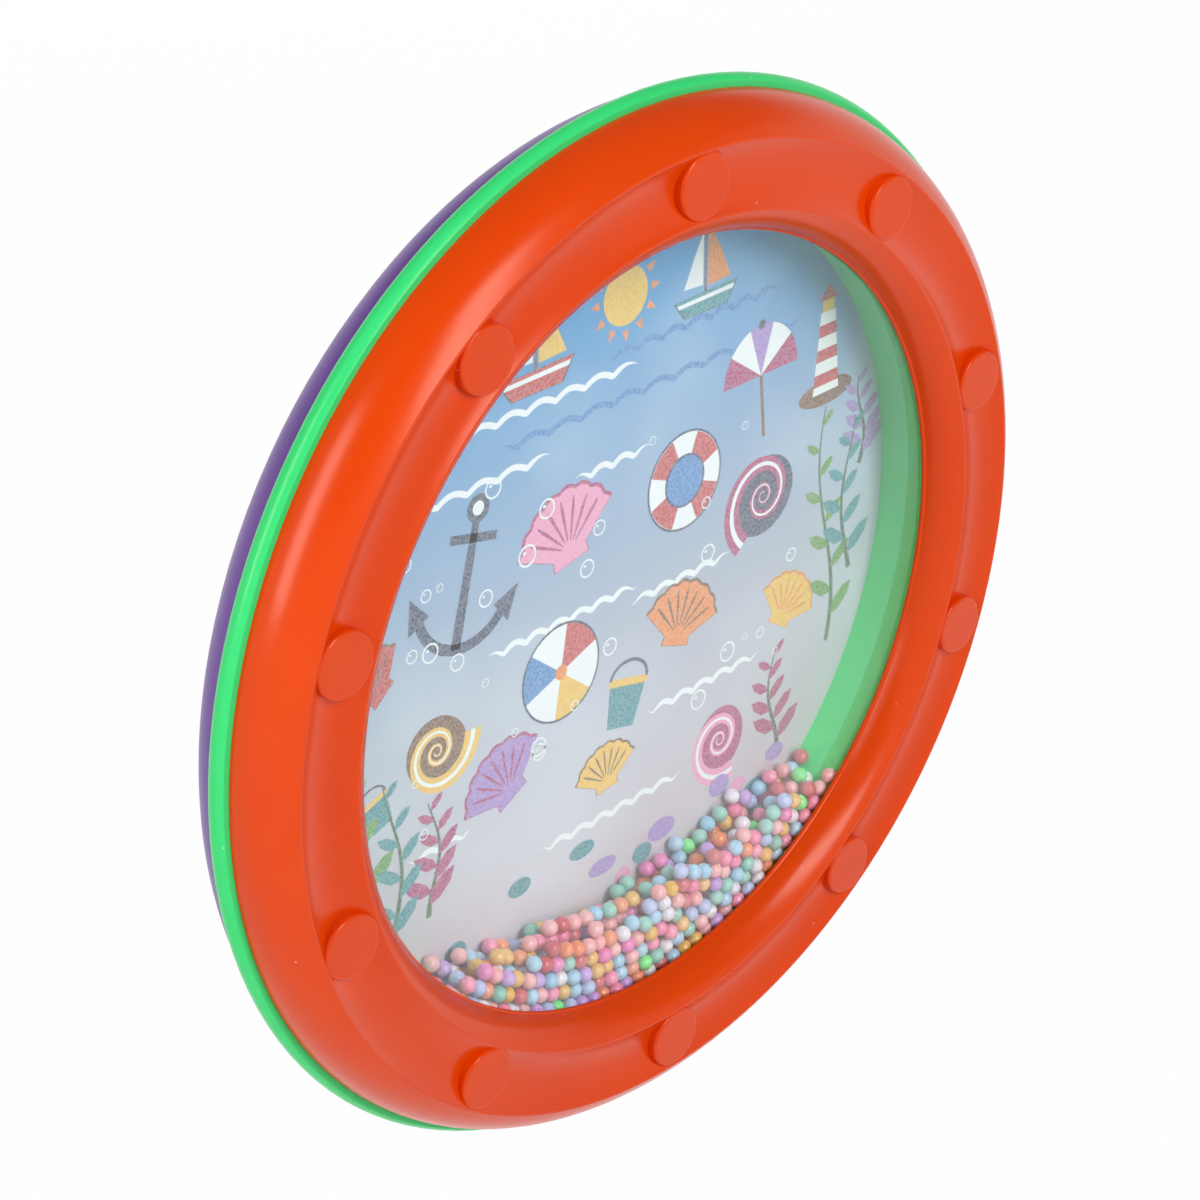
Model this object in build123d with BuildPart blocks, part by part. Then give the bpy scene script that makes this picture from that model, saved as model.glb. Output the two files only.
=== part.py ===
from build123d import *
import math
import os

import numpy as np

# Ocean drum, standing upright on its round edge. Millimetres, +Z up.
# The drum's axis is Y and its clear front faces -Y. The origin is the drum's middle:
# on the axis, halfway across the coloured band between the two rims.

# Band and hoop, the middle ring that carries both rims and walls the bead chamber
band_radius = 126.2
band_width = 4.6
band_thickness = 5.8
band_crown = 1.2
band_edge_radius = 0.5
web_thickness = 2.4
hoop_wall = 2.6

# Rims, two moulded rings with a rolled outer edge, a channel and a slope down to the window
band_step = 2.6
skirt_height = 1.0
roll_width = 8.1
roll_bulge = 1.8
channel_width = 15.5
channel_depth = 2.5
slope_width = 6.3
slope_bulge = 1.3
ridge_radius = 0.7
rim_wall = 2.0
lip_height = 1.4
lip_bulge = 0.4
window_overlap = 3.9

# Bosses in the channel, each with a screw post behind it
boss_count = 10
boss_turn = 1.5
boss_side_gap = 0.15
boss_edge_radius = 0.8
post_diameter = 9.5

# Drum heads, clamped between the rims and the hoop's wall
front_head_face = 6.2
front_head_thickness = 0.25
rear_head_thickness = 0.35
head_edge_gap = 0.4
front_recess = 8.8
rear_recess = 5.3

# Self-tapping screws, driven from the rear; the thread is drawn at its core diameter
screw_core_diameter = 2.4
screw_head_diameter = 5.6
screw_head_height = 2.0
screw_grip = 9.0
screw_seat_floor = 2.8
recess_size = 3.0
recess_slot = 0.8
recess_depth = 1.1
pilot_clearance = 0.1
pilot_spare = 1.0
shank_clearance = 0.8
head_clearance = 0.8

# Beads, poured into the chamber; each stream fills its own slice of the chamber's depth
bead_diameter = 4.0
bead_play = 0.7
bead_gap = 0.06
bead_wall_gap = 0.3
beads_per_stream = 152
stream_names = ["front", "middle", "rear"]
bead_mix = {
    "pink": 0.14,
    "sky_blue": 0.11,
    "lilac": 0.09,
    "peach": 0.13,
    "periwinkle": 0.07,
    "aqua": 0.08,
    "white": 0.08,
    "orange": 0.10,
    "amber": 0.09,
    "red": 0.06,
    "magenta": 0.03,
    "mint": 0.02,
}
pour_seed = 7
pour_spread = 0.8
pour_core = 0.45
sink_steps = 1200
sink_per_step = 0.12
push_share = 0.4
clear_attempts = 80

# Radii, from the band inwards
rim_radius = band_radius - band_step
outer_ridge_radius = rim_radius - roll_width
inner_ridge_radius = outer_ridge_radius - channel_width
lip_radius = inner_ridge_radius - slope_width
window_radius = lip_radius - lip_bulge
chamber_radius = window_radius + window_overlap
wall_radius = chamber_radius + hoop_wall
head_radius = wall_radius - head_edge_gap
boss_pitch_radius = (outer_ridge_radius + inner_ridge_radius) / 2
boss_radius = channel_width / 2 - boss_side_gap

# Distances from the mid-plane, forwards for the front rim and backwards for the rear one
seat = band_width / 2
web_face = web_thickness / 2
chamber_front = front_head_face - front_head_thickness
stream_depth = bead_diameter + bead_play
chamber_depth = len(stream_names) * (stream_depth + bead_wall_gap) + bead_wall_gap
chamber_rear = chamber_depth - chamber_front
rear_head_face = chamber_rear + rear_head_thickness
front_rim_height = front_head_face + front_recess
rear_rim_height = rear_head_face + rear_recess
screw_seat = web_face + screw_seat_floor
pilot_depth = screw_grip + pilot_spare

os.makedirs("parts", exist_ok=True)


def write(builder, name):
    """Label a finished piece and write it as its own file."""
    builder.part.label = name
    export_step(builder.part, f"parts/{name}.step")


def boss_places(side):
    """Boss places on a plane that faces forwards (side 1) or backwards (side -1)."""
    return PolarLocations(boss_pitch_radius, boss_count, start_angle=90 - side * boss_turn)


def boss_blank(height):
    """One boss: a short round stud with a rounded top edge, its top in the XY plane."""
    with BuildPart() as blank:
        with BuildSketch(Plane.XY.offset(-height)):
            Circle(boss_radius)
        extrude(amount=height)
        fillet(blank.edges().group_by(Axis.Z)[-1], boss_edge_radius)
    return blank.part


def moulded_rim(section_plane, face_plane, side, height, head_face):
    """A rim: the revolved shell, the foot that clamps the head, the bosses and their posts."""
    blank = boss_blank(channel_depth + rim_wall)
    skirt_top = seat + skirt_height
    slope_end = head_face + lip_height / 2
    with BuildPart() as rim:
        with BuildSketch(section_plane):
            with BuildLine() as skin:
                # Outer side of the shell, from the band to the lip
                Line((rim_radius, seat), (rim_radius, skirt_top))
                SagittaArc((rim_radius, skirt_top), (outer_ridge_radius, height), -roll_bulge)
                SagittaArc((outer_ridge_radius, height), (inner_ridge_radius, height), channel_depth)
                SagittaArc((inner_ridge_radius, height), (lip_radius, slope_end), -slope_bulge)
                fillet(skin.vertices().sort_by(Axis.X)[1:3], ridge_radius)
                # Inner side: the same curves, a wall's thickness further in
                under = height - rim_wall
                skirt_inside = rim_radius - rim_wall
                slope_inside = lip_radius + rim_wall
                Line((rim_radius, seat), (skirt_inside, seat))
                Line((skirt_inside, seat), (skirt_inside, skirt_top))
                SagittaArc((skirt_inside, skirt_top), (outer_ridge_radius, under), -roll_bulge)
                SagittaArc((outer_ridge_radius, under), (inner_ridge_radius, under), channel_depth)
                SagittaArc((inner_ridge_radius, under), (slope_inside, slope_end), -slope_bulge)
                Line((slope_inside, slope_end), (lip_radius, slope_end))
            make_face()
        revolve(axis=Axis.Y)
        # Foot: a flat ring on the head, with a rounded lip at the window's edge
        with BuildSketch(section_plane):
            with BuildLine():
                SagittaArc((lip_radius, head_face), (lip_radius, head_face + lip_height), lip_bulge)
                Line((lip_radius, head_face + lip_height), (wall_radius, head_face + lip_height))
                Line((wall_radius, head_face + lip_height), (wall_radius, head_face))
                Line((wall_radius, head_face), (lip_radius, head_face))
            make_face()
        revolve(axis=Axis.Y)
        # Posts reach from the hoop's web to the shell; bosses stand in the channel over them
        with BuildSketch(face_plane.offset(web_face)):
            with boss_places(side):
                Circle(post_diameter / 2)
        extrude(amount=height - channel_depth - rim_wall / 2 - web_face)
        with Locations(face_plane.offset(height)):
            with boss_places(side):
                add(blank)
    return rim


# Front rim: blind pilot holes for the screws open at the foot of each post
front_rim = moulded_rim(Plane.bottom, Plane.front, 1, front_rim_height, front_head_face)
with front_rim:
    with Locations(Plane.back.offset(-web_face)):
        with boss_places(-1):
            Hole(screw_core_diameter / 2 + pilot_clearance / 2, depth=pilot_depth)
write(front_rim, "front_rim")

# Rear rim: the bosses are bored for the screws, heads sunk
rear_rim = moulded_rim(Plane.top, Plane.back, -1, rear_rim_height, rear_head_face)
with rear_rim:
    with Locations(Plane.back.offset(rear_rim_height)):
        with boss_places(-1):
            CounterBoreHole(
                radius=(screw_core_diameter + shank_clearance) / 2,
                counter_bore_radius=(screw_head_diameter + head_clearance) / 2,
                counter_bore_depth=rear_rim_height - screw_seat,
                depth=rear_rim_height - web_face,
            )
write(rear_rim, "rear_rim")

# Drum hoop: crowned band outside, web, and the wall of the bead chamber
with BuildPart() as drum_hoop:
    with BuildSketch(Plane.XY) as hoop_section:
        with BuildLine():
            crown_edge = band_radius - band_crown
            band_inner = band_radius - band_thickness
            SagittaArc((crown_edge, -seat), (crown_edge, seat), -band_crown)
            Polyline(
                (crown_edge, seat),
                (band_inner, seat),
                (band_inner, web_face),
                (wall_radius, web_face),
                (wall_radius, chamber_rear),
                (chamber_radius, chamber_rear),
                (chamber_radius, -chamber_front),
                (wall_radius, -chamber_front),
                (wall_radius, -web_face),
                (band_inner, -web_face),
                (band_inner, -seat),
                (crown_edge, -seat),
            )
        make_face()
        fillet(hoop_section.vertices().group_by(Axis.X)[-1], band_edge_radius)
    revolve(axis=Axis.Y)
    with Locations(Plane.back.offset(web_face)):
        with boss_places(-1):
            Hole((screw_core_diameter + shank_clearance) / 2, depth=web_thickness)
write(drum_hoop, "drum_hoop")

# Front head: clear film
with BuildPart() as front_head:
    with BuildSketch(Plane.front.offset(chamber_front)):
        Circle(head_radius)
    extrude(amount=front_head_thickness)
write(front_head, "front_head")

# Rear head: opaque printed sheet
with BuildPart() as rear_head:
    with BuildSketch(Plane.back.offset(chamber_rear)):
        Circle(head_radius)
    extrude(amount=rear_head_thickness)
write(rear_head, "rear_head")

# Rim screws: pan heads with a cross recess
with BuildPart() as rim_screws:
    with BuildSketch(Plane.back.offset(-web_face - screw_grip)):
        with boss_places(-1):
            Circle(screw_core_diameter / 2)
    extrude(amount=screw_seat + web_face + screw_grip)
    with BuildSketch(Plane.back.offset(screw_seat)):
        with boss_places(-1):
            Circle(screw_head_diameter / 2)
    extrude(amount=screw_head_height)
    with BuildSketch(Plane.back.offset(screw_seat + screw_head_height)):
        with boss_places(-1):
            Rectangle(recess_size, recess_slot)
            Rectangle(recess_slot, recess_size)
    extrude(amount=-recess_depth, mode=Mode.SUBTRACT)
write(rim_screws, "rim_screws")


def held_in(beads, near_y, far_y):
    """Move bead centres back inside the round wall and their own slice of the depth."""
    reach = chamber_radius - bead_wall_gap - bead_diameter / 2
    from_axis = np.hypot(beads[:, 0], beads[:, 2])
    beads[:, [0, 2]] *= np.minimum(1, reach / from_axis)[:, None]
    beads[:, 1] = np.clip(beads[:, 1], near_y, far_y)


def settled_heap(near_y, far_y, seed):
    """Bead centres of one stream: poured at random, sunk together, then cleared from below."""
    draw = np.random.default_rng(seed)
    spacing = bead_diameter + bead_gap
    angle = draw.uniform(-pour_spread, pour_spread, beads_per_stream)
    radius = chamber_radius * np.sqrt(draw.uniform(pour_core, 1.0, beads_per_stream))
    depth = draw.uniform(near_y, far_y, beads_per_stream)
    poured = np.stack([radius * np.sin(angle), depth, -radius * np.cos(angle)], axis=1)
    # Sink: every bead drops a little, and each pair that is too close pushes itself apart
    for step in range(sink_steps):
        poured[:, 2] -= sink_per_step * (1 - step / sink_steps)
        between = poured[:, None, :] - poured[None, :, :]
        distance = np.linalg.norm(between, axis=2) + np.eye(beads_per_stream) * spacing
        push = push_share * np.clip(spacing - distance, 0, None) / distance
        poured += np.einsum("ijk,ij->ik", between, push)
        held_in(poured, near_y, far_y)
    # Clear: from the lowest up, each bead moves off the nearest one under it until it is free
    heap = np.empty((0, 3))
    for bead in poured[np.argsort(poured[:, 2])][:, None, :]:
        for attempt in range(clear_attempts):
            away = bead - heap
            distance = np.linalg.norm(away, axis=1)
            if distance.min(initial=math.inf) > bead_diameter + bead_gap / 2:
                heap = np.vstack([heap, bead])
                break
            nearest = distance.argmin()
            bead = heap[[nearest]] + away[[nearest]] * spacing / distance[nearest]
            held_in(bead, near_y, far_y)
    return heap


# Beads: one piece per colour and stream, each a group of loose balls
for index, stream in enumerate(stream_names):
    slice_start = bead_wall_gap - chamber_front + index * (stream_depth + bead_wall_gap)
    near_y = slice_start + bead_diameter / 2
    heap = settled_heap(near_y, near_y + bead_play, pour_seed + index)
    colours = np.random.default_rng(pour_seed + index).choice(
        list(bead_mix), size=len(heap), p=list(bead_mix.values())
    )
    print(f"{stream} stream: {len(heap)} beads, highest centre {heap[:, 2].max():.1f} mm")
    for colour in bead_mix:
        places = [tuple(float(v) for v in p) for p, c in zip(heap, colours) if c == colour]
        with BuildPart() as beads:
            with Locations(*places):
                Sphere(bead_diameter / 2)
        write(beads, f"{colour}_beads_{stream}")
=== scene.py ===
# %% [markdown]
# # An ocean drum
# An ocean drum is a shallow drum with two heads and loose beads between them. Tilted slowly, the beads
# slide over the heads and hiss like surf. This one stands on its round edge: an orange rim with a clear
# head in front, a green hoop in the middle, and a purple rim with a printed head behind.
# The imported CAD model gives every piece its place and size, so this script only dresses it.

# %% Load the frame
import math

import bmesh
import bpy
import numpy as np
from mathutils import Euler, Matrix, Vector
from mathutils.geometry import tessellate_polygon


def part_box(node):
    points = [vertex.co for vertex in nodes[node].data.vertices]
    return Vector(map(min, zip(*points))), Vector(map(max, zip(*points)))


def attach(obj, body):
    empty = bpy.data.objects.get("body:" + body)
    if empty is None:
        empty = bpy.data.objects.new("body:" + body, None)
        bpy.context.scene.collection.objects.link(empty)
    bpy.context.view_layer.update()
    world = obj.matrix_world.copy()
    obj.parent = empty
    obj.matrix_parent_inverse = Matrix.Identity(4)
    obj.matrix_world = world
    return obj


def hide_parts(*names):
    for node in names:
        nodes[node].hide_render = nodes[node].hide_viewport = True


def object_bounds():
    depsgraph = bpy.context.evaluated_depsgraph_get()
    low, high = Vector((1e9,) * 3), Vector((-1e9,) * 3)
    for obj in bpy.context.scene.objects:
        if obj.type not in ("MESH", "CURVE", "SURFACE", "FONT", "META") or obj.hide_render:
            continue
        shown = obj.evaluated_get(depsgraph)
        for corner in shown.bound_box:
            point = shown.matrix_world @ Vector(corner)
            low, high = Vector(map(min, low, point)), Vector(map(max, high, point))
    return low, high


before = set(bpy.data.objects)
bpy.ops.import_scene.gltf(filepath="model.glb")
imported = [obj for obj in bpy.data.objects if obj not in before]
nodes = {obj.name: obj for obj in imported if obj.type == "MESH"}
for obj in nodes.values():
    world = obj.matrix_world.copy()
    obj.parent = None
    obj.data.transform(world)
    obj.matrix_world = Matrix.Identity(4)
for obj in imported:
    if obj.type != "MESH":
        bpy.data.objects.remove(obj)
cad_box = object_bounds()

MM = 0.001
print("CAD nodes:", len(nodes), "box:", [round(v, 4) for corner in cad_box for v in corner])

# %% [markdown]
# ## Two helpers for materials
# Colours are written as sRGB hex values, the way a paint chart gives them, but shader sockets hold linear
# light. One function turns the first into the second. Another adds a node, so that each material below
# reads as a list of its nodes and of what feeds them.


# %% Colour and node helpers
def linear(shade):
    """A hex colour as the linear RGBA that a socket takes."""
    parts = [int(shade[i : i + 2], 16) / 255 for i in (1, 3, 5)]
    return [c / 12.92 if c <= 0.04045 else ((c + 0.055) / 1.055) ** 2.4 for c in parts] + [1.0]


def add_node(tree, kind, inputs=None, **settings):
    """Add a node. Settings are its properties; inputs gives each socket a value or another node's output."""
    node = tree.nodes.new(kind)
    for name, value in settings.items():
        setattr(node, name, value)
    for name, value in (inputs or {}).items():
        if isinstance(value, bpy.types.NodeSocket):
            tree.links.new(value, node.inputs[name])
        else:
            node.inputs[name].default_value = value
    return node


def new_material(name):
    """An empty material and its node tree."""
    material = bpy.data.materials.new(name)
    material.use_nodes = True
    material.node_tree.nodes.clear()
    return material, material.node_tree


def per_metre(size_mm):
    """The scale of a texture node whose features are about that many millimetres wide."""
    return 1 / (size_mm * MM)


print("orange as linear light:", [round(c, 3) for c in linear("#EE4A00")])

# %% [markdown]
# ## Moulded ABS
# Both rims and the hoop are injection-moulded ABS, coloured right through and polished by the mould. What
# the eye gets is a saturated colour under a clean gloss that is never quite even: slow clouds where the
# melt flowed, a fine orange-peel in the skin, and a few specks of dust. All of it comes from noise in the
# object's own coordinates, so it stays put when the drum turns.


# %% Moulded ABS in three colours
def moulded_abs(name, shade, shade_deep, gloss):
    """Polished ABS: flow clouds about 30 mm wide, orange-peel about 1.5 mm wide, rare dust specks.

    The gloss is weaker and a little warmer than plain ABS has it, to match the object in a white room."""
    material, tree = new_material(name)
    place = add_node(tree, "ShaderNodeTexCoord").outputs["Object"]
    flow = add_node(tree, "ShaderNodeTexNoise", {"Vector": place, "Scale": per_metre(30), "Detail": 3.0})
    peel = add_node(tree, "ShaderNodeTexNoise", {"Vector": place, "Scale": per_metre(1.5), "Detail": 2.0})
    dust = add_node(tree, "ShaderNodeTexVoronoi", {"Vector": place, "Scale": per_metre(9)})
    speck = add_node(
        tree,
        "ShaderNodeMapRange",
        {"Value": dust.outputs["Distance"], "From Min": 0.035, "From Max": 0.02, "To Max": 0.35},
    )
    body = add_node(
        tree,
        "ShaderNodeMix",
        {"Factor": flow.outputs["Fac"], "A": linear(shade), "B": linear(shade_deep)},
        data_type="RGBA",
    )
    dusted = add_node(
        tree,
        "ShaderNodeMix",
        {"Factor": speck.outputs["Result"], "A": body.outputs["Result"], "B": linear("#F4EDE6")},
        data_type="RGBA",
    )
    rough = add_node(
        tree,
        "ShaderNodeMapRange",
        {"Value": flow.outputs["Fac"], "To Min": gloss - 0.05, "To Max": gloss + 0.07},
    )
    skin = add_node(
        tree, "ShaderNodeBump", {"Height": peel.outputs["Fac"], "Strength": 0.25, "Distance": 0.03 * MM}
    )
    abs_shader = add_node(
        tree,
        "ShaderNodeBsdfPrincipled",
        {
            "Base Color": dusted.outputs["Result"],
            "Roughness": rough.outputs["Result"],
            "Normal": skin.outputs["Normal"],
            "IOR": 1.54,
            "Specular IOR Level": 0.31,
            "Specular Tint": linear("#FFE9DA"),
        },
    )
    add_node(tree, "ShaderNodeOutputMaterial", {"Surface": abs_shader.outputs["BSDF"]})
    return material


def dress(node, material):
    """Give a CAD node one material."""
    nodes[node].data.materials.clear()
    nodes[node].data.materials.append(material)


dress("front_rim", moulded_abs("orange_moulded_abs", "#EE4A00", "#E64200", 0.22))
dress("rear_rim", moulded_abs("purple_moulded_abs", "#7850A6", "#6A4498", 0.32))
dress("drum_hoop", moulded_abs("green_moulded_abs", "#40EA84", "#36E27A", 0.28))
print("rim faces:", len(nodes["front_rim"].data.polygons), len(nodes["rear_rim"].data.polygons))

# %% [markdown]
# ## Clear film head
# The front head is clear PVC film, calendered to a polish and clamped flat. It is a real sheet with two
# faces here, so its glass shader bends and mirrors light as the film does. Lamps and the glints on the
# beads would have to find their way through that glass by luck, so a plain see-through shader takes its
# place for the rays between lamps and beads.

# %% Clear film
film, tree = new_material("clear_pvc_film")
place = add_node(tree, "ShaderNodeTexCoord").outputs["Object"]
slack = add_node(tree, "ShaderNodeTexNoise", {"Vector": place, "Scale": per_metre(70), "Detail": 1.0})
ripple = add_node(
    tree, "ShaderNodeBump", {"Height": slack.outputs["Fac"], "Strength": 0.15, "Distance": 0.2 * MM}
)
clear = add_node(
    tree,
    "ShaderNodeBsdfPrincipled",
    {
        "Base Color": linear("#FBFDFD"),
        "Roughness": 0.03,
        "IOR": 1.53,
        "Transmission Weight": 1.0,
        "Normal": ripple.outputs["Normal"],
    },
)
let_by = add_node(tree, "ShaderNodeBsdfTransparent", {"Color": linear("#EAEEEE")})
film_path = add_node(tree, "ShaderNodeLightPath").outputs
bounces = {0: film_path["Is Glossy Ray"], 1: film_path["Is Transmission Ray"]}
glint = add_node(tree, "ShaderNodeMath", bounces, operation="SUBTRACT").outputs["Value"]
lamp_rays = {0: film_path["Is Shadow Ray"], 1: glint}
plain_ray = add_node(tree, "ShaderNodeMath", lamp_rays, operation="MAXIMUM").outputs["Value"]
film_mix = add_node(tree, "ShaderNodeMixShader", {"Fac": plain_ray})
tree.links.new(clear.outputs["BSDF"], film_mix.inputs[1])
tree.links.new(let_by.outputs["BSDF"], film_mix.inputs[2])
add_node(tree, "ShaderNodeOutputMaterial", {"Surface": film_mix.outputs["Shader"]})
dress("front_head", film)

# %% [markdown]
# ## Printed sheet head
# The rear head is an opaque plastic sheet, printed on the side that faces the beads: sky blue at the top,
# pale grey-blue in the middle and a pale rose at the bottom, with soft clouds of paler water. The back of
# the sheet is left white. An image could hold such a print, but a colour ramp over the height needs none,
# and the normal tells the two sides apart.

# %% Printed sheet
print_reach = 97 * MM
sheet, tree = new_material("printed_plastic_sheet")
place = add_node(tree, "ShaderNodeTexCoord").outputs["Object"]
axes = add_node(tree, "ShaderNodeSeparateXYZ", {"Vector": place})
height = add_node(
    tree,
    "ShaderNodeMapRange",
    {"Value": axes.outputs["Z"], "From Min": -print_reach, "From Max": print_reach},
)
water = add_node(tree, "ShaderNodeValToRGB", {"Fac": height.outputs["Result"]})
water.color_ramp.elements[0].color = linear("#E0CBD0")
water.color_ramp.elements[1].color = linear("#1E9ADA")
middle_stop = water.color_ramp.elements.new(0.46)
middle_stop.color = linear("#BCC2D0")
cloud = add_node(tree, "ShaderNodeTexNoise", {"Vector": place, "Scale": per_metre(55), "Detail": 2.0})
haze = add_node(
    tree,
    "ShaderNodeMapRange",
    {"Value": cloud.outputs["Fac"], "From Min": 0.45, "From Max": 0.75, "To Max": 0.4},
)
picture = add_node(
    tree,
    "ShaderNodeMix",
    {"Factor": haze.outputs["Result"], "A": water.outputs["Color"], "B": linear("#E6F0F8")},
    data_type="RGBA",
)
facing = add_node(
    tree, "ShaderNodeSeparateXYZ", {"Vector": add_node(tree, "ShaderNodeNewGeometry").outputs["Normal"]}
)
is_back = add_node(tree, "ShaderNodeMath", {0: facing.outputs["Y"], 1: 0.5}, operation="GREATER_THAN")
both_sides = add_node(
    tree,
    "ShaderNodeMix",
    {"Factor": is_back.outputs["Value"], "A": picture.outputs["Result"], "B": linear("#EEEDF2")},
    data_type="RGBA",
)
satin = add_node(
    tree, "ShaderNodeMapRange", {"Value": cloud.outputs["Fac"], "To Min": 0.32, "To Max": 0.42}
)
sheet_shader = add_node(
    tree,
    "ShaderNodeBsdfPrincipled",
    {"Base Color": both_sides.outputs["Result"], "Roughness": satin.outputs["Result"], "IOR": 1.5},
)
add_node(tree, "ShaderNodeOutputMaterial", {"Surface": sheet_shader.outputs["BSDF"]})
dress("rear_head", sheet)

# %% [markdown]
# ## Ink motifs
# The picture is a sea design in flat inks: boats and a sun, an anchor and a life ring, shells, a beach
# ball, a parasol, a lighthouse, pails, kelp and bubbles. Inks are drawn as flat patches at most about a
# tenth of a millimetre in front of the sheet, one layer over another as a press lays them. Outlines are
# points in millimetres, x to the right and z up.

# %% Outlines and patches
print_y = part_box("rear_head")[0].y
layer_step = 0.02 * MM
print_points, print_faces, print_inks = [], [], []
ink_shades = {
    "navy": "#23365E",
    "blue": "#3F86C8",
    "teal": "#2F8F9A",
    "white": "#F7F9FB",
    "red": "#C8322E",
    "orange": "#F08A2C",
    "amber": "#F5C23A",
    "pink": "#F49BC0",
    "magenta": "#B0226E",
    "lilac": "#A884CC",
    "green": "#5E9A38",
    "dark_green": "#2E5E2C",
    "brown": "#7A4A28",
}
ink_names = list(ink_shades)


def patch(loop, ink, layer):
    """Add one flat patch of ink: the loop's inside, facing the beads."""
    start = len(print_points)
    y = print_y - layer * layer_step
    print_points.extend((x * MM, y, z * MM) for x, z in loop)
    for a, b, c in tessellate_polygon([[Vector((x, z, 0)) for x, z in loop]]):
        (ax, az), (bx, bz), (cx, cz) = loop[a], loop[b], loop[c]
        turns_left = (bx - ax) * (cz - az) - (bz - az) * (cx - ax) > 0
        corners = (a, b, c) if turns_left else (a, c, b)
        print_faces.append(tuple(start + i for i in corners))
        print_inks.append(ink_names.index(ink))


def oval(x, z, wide, high, points=40):
    """An oval loop round a point."""
    turns = [2 * math.pi * i / points for i in range(points)]
    return [(x + wide * math.cos(t), z + high * math.sin(t)) for t in turns]


def stroke(line, widths):
    """The loop round a line of points, with a width at each point."""
    left, right = [], []
    for i, (x, z) in enumerate(line):
        ahead, behind = line[min(i + 1, len(line) - 1)], line[max(i - 1, 0)]
        dx, dz = ahead[0] - behind[0], ahead[1] - behind[1]
        run = math.hypot(dx, dz) or 1.0
        half = widths[i] / 2
        left.append((x - dz / run * half, z + dx / run * half))
        right.append((x + dz / run * half, z - dx / run * half))
    return left + right[::-1]


def placed(loop, x, z, turn=0.0, size=1.0):
    """A loop turned by some degrees, scaled and moved to a point."""
    c, s = math.cos(math.radians(turn)) * size, math.sin(math.radians(turn)) * size
    return [(x + px * c - pz * s, z + px * s + pz * c) for px, pz in loop]


# %% Shells
def scallop(x, z, size, turn, fill, line):
    """A fan shell: dark edge, fill, ribs and a hinge."""
    spread = np.radians(np.linspace(-68, 68, 57))
    ripple = 1 + 0.05 * np.abs(np.cos(np.linspace(0, 7 * math.pi, 57)))
    fan = [(r * math.sin(a), r * math.cos(a)) for a, r in zip(spread, ripple)]
    foot = [(0.34, -0.02), (0.36, -0.2), (-0.36, -0.2), (-0.34, -0.02)]
    patch(placed(fan + foot, x, z, turn, size * 1.06), line, 1)
    patch(placed(fan + foot, x, z, turn, size), fill, 2)
    for a in np.radians(np.linspace(-54, 54, 7)):
        rib = [(0.18 * t * math.sin(a), 0.18 * t * math.cos(a)) for t in range(1, 6)]
        patch(placed(stroke(rib, [0.02, 0.04, 0.05, 0.06, 0.03]), x, z, turn, size), line, 3)


def spiral_shell(x, z, size, turn, fill, line):
    """A snail shell: one coil that widens outwards, with a lighter stripe along it."""
    turns = np.linspace(0.6, 5.2 * math.pi, 110)
    reach = 0.06 * np.exp(0.168 * turns)
    coil = [(r * math.cos(t), r * math.sin(t)) for t, r in zip(turns, reach)]
    patch(placed(oval(0, 0, 0.78, 0.72), x, z, turn, size), line, 1)
    patch(placed(stroke(coil, 0.46 * reach), x, z, turn, size), fill, 2)
    patch(placed(stroke(coil, 0.12 * reach), x, z, turn, size), "white", 3)


scallop(-14, 20, 15, 12, "pink", "magenta")
scallop(22, -16, 13, -20, "orange", "brown")
scallop(-34, -34, 13, 28, "lilac", "magenta")
scallop(60, -26, 11, -34, "amber", "orange")
scallop(-2, -46, 10, 6, "amber", "brown")
scallop(-72, 8, 10, 40, "red", "brown")
spiral_shell(52, 10, 14, 20, "magenta", "navy")
spiral_shell(-56, -14, 12, 150, "amber", "brown")
spiral_shell(38, -52, 12, 80, "pink", "magenta")
print("shell patches:", len(print_faces))


# %% Boats and waves
def boat(x, z, size, hull, sail):
    """A small sailing boat: hull with a deck line, mast, two sails and a flag."""
    hull_loop = [(-1, 0.1), (1.05, 0.14), (0.72, -0.36), (-0.66, -0.36)]
    patch(placed(hull_loop, x, z, 0, size * 1.05), "navy", 1)
    patch(placed(hull_loop, x, z, 0, size), hull, 2)
    patch(placed([(-0.94, 0.02), (0.98, 0.05), (0.92, -0.06), (-0.88, -0.08)], x, z, 0, size), "white", 3)
    patch(placed(stroke([(0, 0.1), (0, 1.9)], [0.07, 0.05]), x, z, 0, size), "brown", 2)
    main_sail = [(0.08, 0.24), (0.08, 1.78), (0.5, 1.05), (0.86, 0.28)]
    fore_sail = [(-0.08, 0.3), (-0.08, 1.6), (-0.42, 0.96), (-0.72, 0.34)]
    patch(placed(main_sail, x, z, 0, size), sail, 3)
    patch(placed(fore_sail, x, z, 0, size), "white", 3)
    patch(placed([(0, 1.9), (0, 1.72), (0.3, 1.82)], x, z, 0, size), "red", 3)


def waves(z, x_from, x_to, pitch, ink, layer):
    """A row of curling wave tops."""
    steps = np.linspace(x_from, x_to, int((x_to - x_from) * 1.6))
    line = [(x, z + 1.6 * abs(math.sin(math.pi * x / pitch))) for x in steps]
    taper = np.clip(np.minimum(steps - x_from, x_to - steps) / 6, 0.05, 1) * 1.5
    patch(stroke(line, taper), ink, layer)


boat(-24, 66, 11, "red", "amber")
boat(30, 68, 10, "teal", "orange")
waves(58, -66, 8, 9, "white", 2)
waves(62, -2, 58, 8, "blue", 2)
waves(51, -36, 66, 10, "blue", 1)
waves(45, -76, -20, 9, "white", 1)
print("patches with boats:", len(print_faces))


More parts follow.
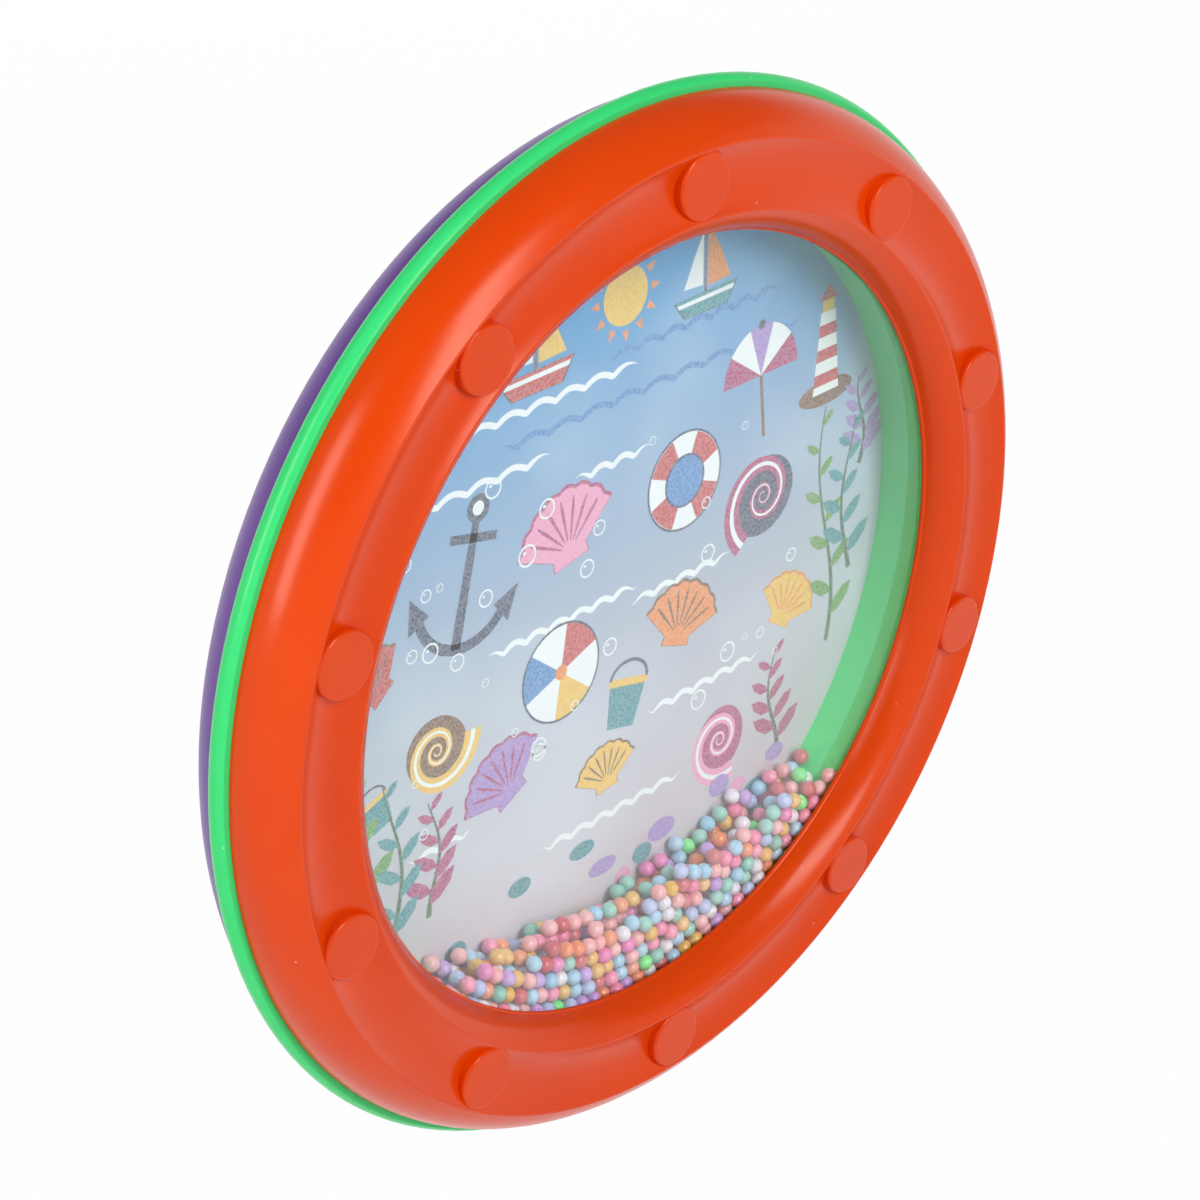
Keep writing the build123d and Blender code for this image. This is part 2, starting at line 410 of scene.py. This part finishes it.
# %% Anchor and life ring
def anchor(x, z, size, turn, ink):
    """An anchor: ring, stock, shank and two flukes."""
    patch(placed(oval(0, 1.02, 0.2, 0.2), x, z, turn, size), ink, 1)
    patch(placed(oval(0, 1.02, 0.1, 0.1), x, z, turn, size), "white", 2)
    patch(placed(stroke([(0, 0.86), (0, -0.9)], [0.13, 0.18]), x, z, turn, size), ink, 2)
    patch(placed(stroke([(-0.42, 0.62), (0.42, 0.62)], [0.13, 0.13]), x, z, turn, size), ink, 2)
    sweep = np.radians(np.linspace(200, 340, 25))
    arms = [(0.82 * math.cos(a), -0.12 + 0.78 * math.sin(a)) for a in sweep]
    patch(placed(stroke(arms, [0.16] * len(arms)), x, z, turn, size), ink, 2)
    for side in (-1, 1):
        fluke = [(side * 0.98, -0.1), (side * 0.58, -0.36), (side * 0.9, -0.62)]
        patch(placed(fluke, x, z, turn, size), ink, 3)


def life_ring(x, z, size):
    """A life ring: white ring with red quarters and a rope edge."""
    patch(oval(x, z, size * 1.05, size * 1.05), "navy", 1)
    patch(oval(x, z, size, size), "white", 2)
    for quarter in (20, 110, 200, 290):
        sweep = np.radians(np.linspace(quarter, quarter + 50, 14))
        band = [(x + 0.76 * size * math.cos(a), z + 0.76 * size * math.sin(a)) for a in sweep]
        patch(stroke(band, [0.46 * size] * len(band)), "red", 3)
    patch(oval(x, z, size * 0.56, size * 0.56), "navy", 4)
    patch(oval(x, z, size * 0.51, size * 0.51), "blue", 5)


anchor(-46, 24, 17, -14, "navy")
life_ring(24, 24, 12)
print("patches with anchor and ring:", len(print_faces))


# %% Beach ball, parasol and sun
def wedges(x, z, size, start, sweep, inks, layer):
    """Coloured wedges side by side round a point."""
    step = sweep / len(inks)
    for number, ink in enumerate(inks):
        turns = np.radians(np.linspace(start + number * step, start + (number + 1) * step, 10))
        arc = [(x + size * math.cos(a), z + size * math.sin(a)) for a in turns]
        patch([(x, z)] + arc, ink, layer)


def beach_ball(x, z, size, turn):
    """A beach ball: six wedges and a cap inside a dark edge."""
    patch(oval(x, z, size * 1.05, size * 1.05), "navy", 1)
    wedges(x, z, size, turn, 360, ["red", "white", "blue", "white", "amber", "white"], 2)
    patch(oval(x, z, size * 0.16, size * 0.16, 20), "orange", 3)


def parasol(x, z, size):
    """A parasol: a pole under half a disc of wedges."""
    patch(stroke([(x, z + 0.1 * size), (x + 0.12 * size, z - 1.25 * size)], [1.1, 1.1]), "brown", 1)
    wedges(x, z, size, 0, 180, ["magenta", "white", "lilac", "white", "magenta"], 2)
    patch(oval(x, z + size, size * 0.09, size * 0.09, 16), "navy", 3)


def sun(x, z, size):
    """A sun: a disc in a ring of rays."""
    for turn in range(0, 360, 30):
        patch(placed([(1.18, -0.16), (1.6, 0.0), (1.18, 0.16)], x, z, turn, size), "orange", 1)
    patch(oval(x, z, size, size), "amber", 1)


beach_ball(-17, -10, 12, 20)
parasol(50, 42, 13)
sun(4, 76, 7)
print("patches with ball, parasol and sun:", len(print_faces))


# %% Lighthouse and pail
def lighthouse(x, z, size):
    """A lighthouse on a rock: a tower with stripes, a lamp room and a roof."""

    def band(low, high):
        """The tower's outline between two heights, narrower upwards."""
        near, far = 0.34 - 0.1 * low, 0.34 - 0.1 * high
        return placed([(-near, low), (near, low), (far, high), (-far, high)], x, z, 0, size)

    patch(placed(oval(0, 0, 0.7, 0.24), x, z, 0, size), "brown", 1)
    patch(band(0.0, 1.5), "white", 2)
    for low in (0.15, 0.6, 1.05):
        patch(band(low, low + 0.22), "red", 3)
    patch(placed([(-0.15, 1.5), (0.15, 1.5), (0.15, 1.72), (-0.15, 1.72)], x, z, 0, size), "amber", 2)
    patch(placed([(-0.24, 1.72), (0.24, 1.72), (0, 2.0)], x, z, 0, size), "red", 3)


def pail(x, z, size, turn):
    """A toy pail with a handle."""
    patch(placed([(-0.7, 0.6), (0.7, 0.6), (0.5, -0.7), (-0.5, -0.7)], x, z, turn, size), "teal", 1)
    patch(placed([(-0.76, 0.72), (0.76, 0.72), (0.72, 0.5), (-0.72, 0.5)], x, z, turn, size), "amber", 2)
    sweep = np.radians(np.linspace(0, 180, 21))
    handle = [(0.7 * math.cos(a), 0.68 + 0.55 * math.sin(a)) for a in sweep]
    patch(placed(stroke(handle, [0.1] * len(handle)), x, z, turn, size), "navy", 3)


lighthouse(74, 30, 14)
pail(4, -27, 9, -14)
pail(-74, -22, 6, 20)
ripples = [(36, -12, 12), (2, -40, 8), (-2, 6, 40), (-34, 12, 52), (-40, -66, -46), (-56, -24, 24)]
for z, x_from, x_to in ripples:
    waves(z, x_from, x_to, 7, "white", 0.5)
print("patches with lighthouse and pails:", len(print_faces))


# %% Kelp, pebbles and bubbles
def kelp(x, z, tall, sway, ink, layer):
    """One strand of kelp: a wavy stem with leaves on both sides."""
    climb = np.linspace(0, 1, 40)
    stem = [(x + sway * math.sin(5.2 * t + x), z + tall * t) for t in climb]
    patch(stroke(stem, list(1.6 * (1 - 0.75 * climb))), "dark_green", layer)
    for i in range(4, 38, 4):
        sx, sz = stem[i]
        side = 1 if i % 8 else -1
        leaf = [(0, 0), (0.3, 0.24), (0.72, 0.24), (1.0, 0.08), (0.7, -0.1), (0.3, -0.12)]
        patch(placed(leaf, sx, sz, 90 - side * 52, 10.5 * (1.1 - i / 60)), ink, layer + 1)


def bubble(x, z, size):
    """A bubble: pale ring with a glint."""
    sweep = np.radians(np.linspace(0, 360, 33))
    ring = [(x + size * math.cos(a), z + size * math.sin(a)) for a in sweep]
    patch(stroke(ring, [size * 0.22] * len(ring)), "white", 4)
    patch(oval(x - size * 0.35, z + size * 0.35, size * 0.22, size * 0.16, 16), "white", 4)


kelp_strands = [
    (-80, -46, 56, 3.0, "green", 1),
    (-70, -60, 44, 2.4, "teal", 3),
    (76, -40, 66, 3.2, "green", 1),
    (84, -22, 42, 2.2, "teal", 3),
    (58, -64, 30, 2.0, "magenta", 1),
    (88, 6, 24, 1.6, "lilac", 1),
    (-58, -56, 30, 2.0, "magenta", 1),
]
for x, z, tall, sway, ink, layer in kelp_strands:
    kelp(x, z, tall, sway, ink, layer)
draw = np.random.default_rng(11)
pebble_count, bubble_count = 20, 30
pebble_x = np.linspace(-66, 66, pebble_count)
for number, (x, z) in enumerate(zip(pebble_x, draw.uniform(-84, -60, pebble_count))):
    pebble = oval(x, z, draw.uniform(2.6, 5), draw.uniform(2, 3.4), 24)
    patch(pebble, ["lilac", "pink", "teal"][number % 3], 5 + number % 2)
bubble_x = draw.uniform(-66, 66, bubble_count)
bubble_z = draw.uniform(-40, 44, bubble_count)
bubble_size = draw.uniform(0.8, 2.6, bubble_count)
for x, z, size in zip(bubble_x, bubble_z, bubble_size):
    bubble(x, z, size)
print("ink patches in all:", len(print_faces))


# %% Inks and the print
def printing_ink(name, shade):
    """Press ink: flat colour with a screen of dots, drawn at 0.7 mm instead of 0.2 mm to show."""
    material, tree = new_material(name)
    place = add_node(tree, "ShaderNodeTexCoord").outputs["Object"]
    screen = add_node(tree, "ShaderNodeTexVoronoi", {"Vector": place, "Scale": per_metre(0.7)})
    dots = add_node(
        tree,
        "ShaderNodeMapRange",
        {"Value": screen.outputs["Distance"], "From Min": 0.2, "From Max": 0.6, "To Max": 0.18},
    )
    tone = add_node(
        tree,
        "ShaderNodeMix",
        {"Factor": dots.outputs["Result"], "A": linear(shade), "B": linear("#FFFFFF")},
        data_type="RGBA",
    )
    ink = add_node(
        tree,
        "ShaderNodeBsdfPrincipled",
        {"Base Color": tone.outputs["Result"], "Roughness": 0.38, "IOR": 1.5},
    )
    add_node(tree, "ShaderNodeOutputMaterial", {"Surface": ink.outputs["BSDF"]})
    return material


print_mesh = bpy.data.meshes.new("sea_print")
print_mesh.from_pydata(print_points, [], print_faces)
for name, shade in ink_shades.items():
    print_mesh.materials.append(printing_ink(name + "_printing_ink", shade))
print_mesh.polygons.foreach_set("material_index", print_inks)
sea_print = bpy.data.objects.new("sea_print", print_mesh)
bpy.context.scene.collection.objects.link(sea_print)
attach(sea_print, "drum")
print("print mesh points:", len(print_mesh.vertices))

# %% [markdown]
# ## Beads
# The beads are moulded polystyrene balls in a dozen pastel and bright colours. A moulded ball isn't a
# perfect sphere: the two mould halves leave a faint raised line, and the gate leaves a small flat. The
# frame gives each ball's place, so each CAD bead is found as a loose island and a finer ball, turned at
# random, takes its place.


# %% Bead places and shape
def find_beads(node):
    """The middle of each loose ball in a CAD bead node, and the balls' radius."""
    loose = bmesh.new()
    loose.from_mesh(nodes[node].data)
    bmesh.ops.remove_doubles(loose, verts=loose.verts, dist=1e-6)
    loose.verts.ensure_lookup_table()
    seen, centres = set(), []
    for first in loose.verts:
        if first in seen:
            continue
        seen.add(first)
        island, waiting = [], [first]
        while waiting:
            vert = waiting.pop()
            island.append(vert.co)
            for edge in vert.link_edges:
                other = edge.other_vert(vert)
                if other not in seen:
                    seen.add(other)
                    waiting.append(other)
        corners = np.array(island)
        centres.append((corners.min(0) + corners.max(0)) / 2)
    loose.free()
    return centres, np.ptp(corners, axis=0).max() / 2


def moulded_ball(radius):
    """One ball with its mould line round the middle and a flat gate mark at one end."""
    ball = bmesh.new()
    bmesh.ops.create_uvsphere(ball, u_segments=24, v_segments=16, radius=radius)
    gate = 0.995 * radius
    for vert in ball.verts:
        if abs(vert.co.z) < 0.01 * radius:
            vert.co *= 1.002
        vert.co.z = min(vert.co.z, gate)
    points = np.array([v.co for v in ball.verts])
    ball.verts.index_update()
    faces = [[v.index for v in face.verts] for face in ball.faces]
    ball.free()
    return points, faces


bead_radius = find_beads("mint_beads_front")[1]
ball_points, ball_faces = moulded_ball(bead_radius)
print("ball points:", len(ball_points), "bead radius in mm:", round(bead_radius / MM, 2))

# %% Bead colours
bead_shades = {
    "pink": "#F87AA4",
    "sky_blue": "#9CCBE6",
    "lilac": "#C08EDC",
    "peach": "#F6A6A8",
    "periwinkle": "#AEBCE8",
    "aqua": "#84C8B6",
    "white": "#E8DEE6",
    "orange": "#F27E3A",
    "amber": "#E8AE2E",
    "red": "#D02C3A",
    "magenta": "#EC64B2",
    "mint": "#5CEE74",
}


def moulded_polystyrene(name, shade):
    """Glossy polystyrene: a bright gloss on a body that passes a little light, some balls a touch paler."""
    material, tree = new_material(name)
    chance = add_node(tree, "ShaderNodeNewGeometry").outputs["Random Per Island"]
    amount = add_node(tree, "ShaderNodeMapRange", {"Value": chance, "To Max": 0.16})
    tone = add_node(
        tree,
        "ShaderNodeMix",
        {"Factor": amount.outputs["Result"], "A": linear(shade), "B": linear("#FFF4F4")},
        data_type="RGBA",
    )
    place = add_node(tree, "ShaderNodeTexCoord").outputs["Object"]
    sink = add_node(tree, "ShaderNodeTexNoise", {"Vector": place, "Scale": per_metre(1.2)})
    rough = add_node(
        tree, "ShaderNodeMapRange", {"Value": sink.outputs["Fac"], "To Min": 0.14, "To Max": 0.22}
    )
    ball = add_node(
        tree,
        "ShaderNodeBsdfPrincipled",
        {
            "Base Color": tone.outputs["Result"],
            "Roughness": rough.outputs["Result"],
            "IOR": 1.59,
            "Specular IOR Level": 0.9,
            "Subsurface Weight": 0.15,
            "Subsurface Radius": (1.0, 0.6, 0.5),
            "Subsurface Scale": 0.6 * MM,
        },
    )
    add_node(tree, "ShaderNodeOutputMaterial", {"Surface": ball.outputs["BSDF"]})
    return material


# %% Beads in place
roll = np.random.default_rng(5)
bead_total = 0
for colour, shade in bead_shades.items():
    polystyrene = moulded_polystyrene(colour + "_moulded_polystyrene", shade)
    for stream in ("front", "middle", "rear"):
        node = f"{colour}_beads_{stream}"
        points, faces = [], []
        for centre in find_beads(node)[0]:
            turned = np.array(Euler(roll.uniform(0, 2 * math.pi, 3)).to_matrix())
            faces += [[len(points) + i for i in face] for face in ball_faces]
            points += [tuple(p) for p in ball_points @ turned.T + centre]
            bead_total += 1
        balls = bpy.data.meshes.new(f"{colour}_balls_{stream}")
        balls.from_pydata(points, [], faces)
        balls.materials.append(polystyrene)
        balls.polygons.foreach_set("use_smooth", [True] * len(balls.polygons))
        piece = bpy.data.objects.new(balls.name, balls)
        bpy.context.scene.collection.objects.link(piece)
        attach(piece, "bead_stream_" + stream)
        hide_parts(node)
print("beads:", bead_total)

# %% [markdown]
# ## Screws
# Ten zinc-plated steel screws hold the rims together from the back. Zinc plate is a bright blue-grey metal
# with a fine brushed texture from tumbling, so a little noise breaks up its roughness.

# %% Zinc-plated steel
zinc, tree = new_material("zinc_plated_steel")
place = add_node(tree, "ShaderNodeTexCoord").outputs["Object"]
tumble = add_node(tree, "ShaderNodeTexNoise", {"Vector": place, "Scale": per_metre(0.4), "Detail": 4.0})
worn = add_node(tree, "ShaderNodeMapRange", {"Value": tumble.outputs["Fac"], "To Min": 0.22, "To Max": 0.5})
steel = add_node(
    tree,
    "ShaderNodeBsdfPrincipled",
    {"Base Color": linear("#C3C6CC"), "Metallic": 1.0, "Roughness": worn.outputs["Result"]},
)
add_node(tree, "ShaderNodeOutputMaterial", {"Surface": steel.outputs["BSDF"]})
dress("rim_screws", zinc)
print("screw material:", zinc.name)

# %% [markdown]
# ## Floor, light and camera
# The drum stands on a pale studio floor between soft lamps: one in front, one at the left, and a wider,
# dimmer one without glare for the back. Seen by the camera, in reflections and through the film, the floor
# and the low surroundings are white, and overhead they fade to grey so that the plastic keeps its colour.
# For all other light the surroundings are an even grey, so that the white doesn't pour light on the drum.


# %% Rays that see the surroundings
def seen_rays(tree):
    """1 for a ray from the camera, a mirror or a clear sheet, and 0 for the light that falls on the drum.

    Light that falls through the film also comes in on transmission rays. A matt surface has scattered
    those, so their diffuse depth is above 0, and they don't count as seen."""
    path = add_node(tree, "ShaderNodeLightPath").outputs
    mirrored = {0: path["Is Camera Ray"], 1: path["Is Glossy Ray"]}
    either = add_node(tree, "ShaderNodeMath", mirrored, operation="MAXIMUM").outputs["Value"]
    passed = {0: either, 1: path["Is Transmission Ray"]}
    direct = add_node(tree, "ShaderNodeMath", passed, operation="MAXIMUM").outputs["Value"]
    clean = {0: path["Diffuse Depth"], 1: 0.5}
    unscattered = add_node(tree, "ShaderNodeMath", clean, operation="LESS_THAN").outputs["Value"]
    both = {0: direct, 1: unscattered}
    return add_node(tree, "ShaderNodeMath", both, operation="MULTIPLY").outputs["Value"]


# %% Floor
floor_mesh = bpy.data.meshes.new("studio_floor")
floor_reach = 4.0
white_share = 0.975
floor_z = cad_box[0].z
corner_signs = ((-1, -1), (1, -1), (1, 1), (-1, 1))
floor_corners = [(x * floor_reach, y * floor_reach, floor_z) for x, y in corner_signs]
floor_mesh.from_pydata(floor_corners, [], [(0, 1, 2, 3)])
floor = bpy.data.objects.new("studio_floor", floor_mesh)
bpy.context.scene.collection.objects.link(floor)
pale, tree = new_material("pale_studio_floor")
matt = add_node(tree, "ShaderNodeBsdfDiffuse", {"Color": linear("#F2F2F2")})
glow = add_node(tree, "ShaderNodeEmission", {"Color": linear("#FFFFFF"), "Strength": 1.0})
seen = seen_rays(tree)
seen_share = add_node(tree, "ShaderNodeMath", {0: seen, 1: white_share}, operation="MULTIPLY")
floor_mix = add_node(tree, "ShaderNodeMixShader", {"Fac": seen_share.outputs["Value"]})
tree.links.new(matt.outputs["BSDF"], floor_mix.inputs[1])
tree.links.new(glow.outputs["Emission"], floor_mix.inputs[2])
add_node(tree, "ShaderNodeOutputMaterial", {"Surface": floor_mix.outputs["Shader"]})
floor_mesh.materials.append(pale)
print("floor at z =", round(floor_z / MM, 1), "mm")

# %% Surroundings
world = bpy.data.worlds.new("studio")
bpy.context.scene.world = world
world.use_nodes = True
tree = world.node_tree
tree.nodes.clear()
upward = add_node(
    tree, "ShaderNodeSeparateXYZ", {"Vector": add_node(tree, "ShaderNodeTexCoord").outputs["Generated"]}
)
backdrop = add_node(
    tree,
    "ShaderNodeMapRange",
    {"Value": upward.outputs["Z"], "From Min": 0.22, "From Max": 0.5, "To Min": 1.0, "To Max": 0.15},
    interpolation_type="SMOOTHSTEP",
)
level = add_node(
    tree,
    "ShaderNodeMapRange",
    {"Value": seen_rays(tree), "To Min": 0.2, "To Max": backdrop.outputs["Result"]},
)
sky = add_node(
    tree, "ShaderNodeBackground", {"Color": linear("#FFFFFF"), "Strength": level.outputs["Result"]}
)
add_node(tree, "ShaderNodeOutputWorld", {"Surface": sky.outputs["Background"]})
print("world made")


# %% Lamps
def softbox(name, at, wide, tall, power, glare=True):
    """A soft lamp that faces the drum, sized in metres and watts. One without glare isn't seen in gloss."""
    lamp = bpy.data.lights.new(name, "AREA")
    lamp.shape = "RECTANGLE"
    lamp.size, lamp.size_y, lamp.energy = wide, tall, power
    holder = bpy.data.objects.new(name, lamp)
    holder.location = at
    holder.rotation_euler = Vector(at).to_track_quat("Z", "Y").to_euler()
    holder.visible_glossy = glare
    bpy.context.scene.collection.objects.link(holder)


softbox("front_softbox", (-0.04, -0.98, 0.69), 0.36, 0.8, 8.0)
softbox("left_softbox", (-1.04, 0.0, 0.6), 0.34, 0.75, 6.0)
softbox("rear_softbox", (0.8, 1.1, 0.3), 0.9, 0.9, 8.0, glare=False)
bpy.context.scene.view_settings.view_transform = "Standard"
print("lamps made")

# %% Camera
camera_data = bpy.data.cameras.new("camera")
camera_data.sensor_width = 36.0
camera_data.lens = 90.49
camera = bpy.data.objects.new("camera", camera_data)
bpy.context.scene.collection.objects.link(camera)


def direction(azimuth, elevation):
    """The direction from the drum to a viewer, in degrees round from the front and above the horizon."""
    a, e = math.radians(azimuth), math.radians(elevation)
    return Vector((math.sin(a) * math.cos(e), -math.cos(a) * math.cos(e), math.sin(e)))


camera_distance = 0.68605
camera.location = direction(-47.12, 28.89) * camera_distance
camera.rotation_euler = direction(-46.21, 28.49).to_track_quat("Z", "Y").to_euler()
bpy.context.scene.camera = camera
print("camera at", [round(v, 3) for v in camera.location])
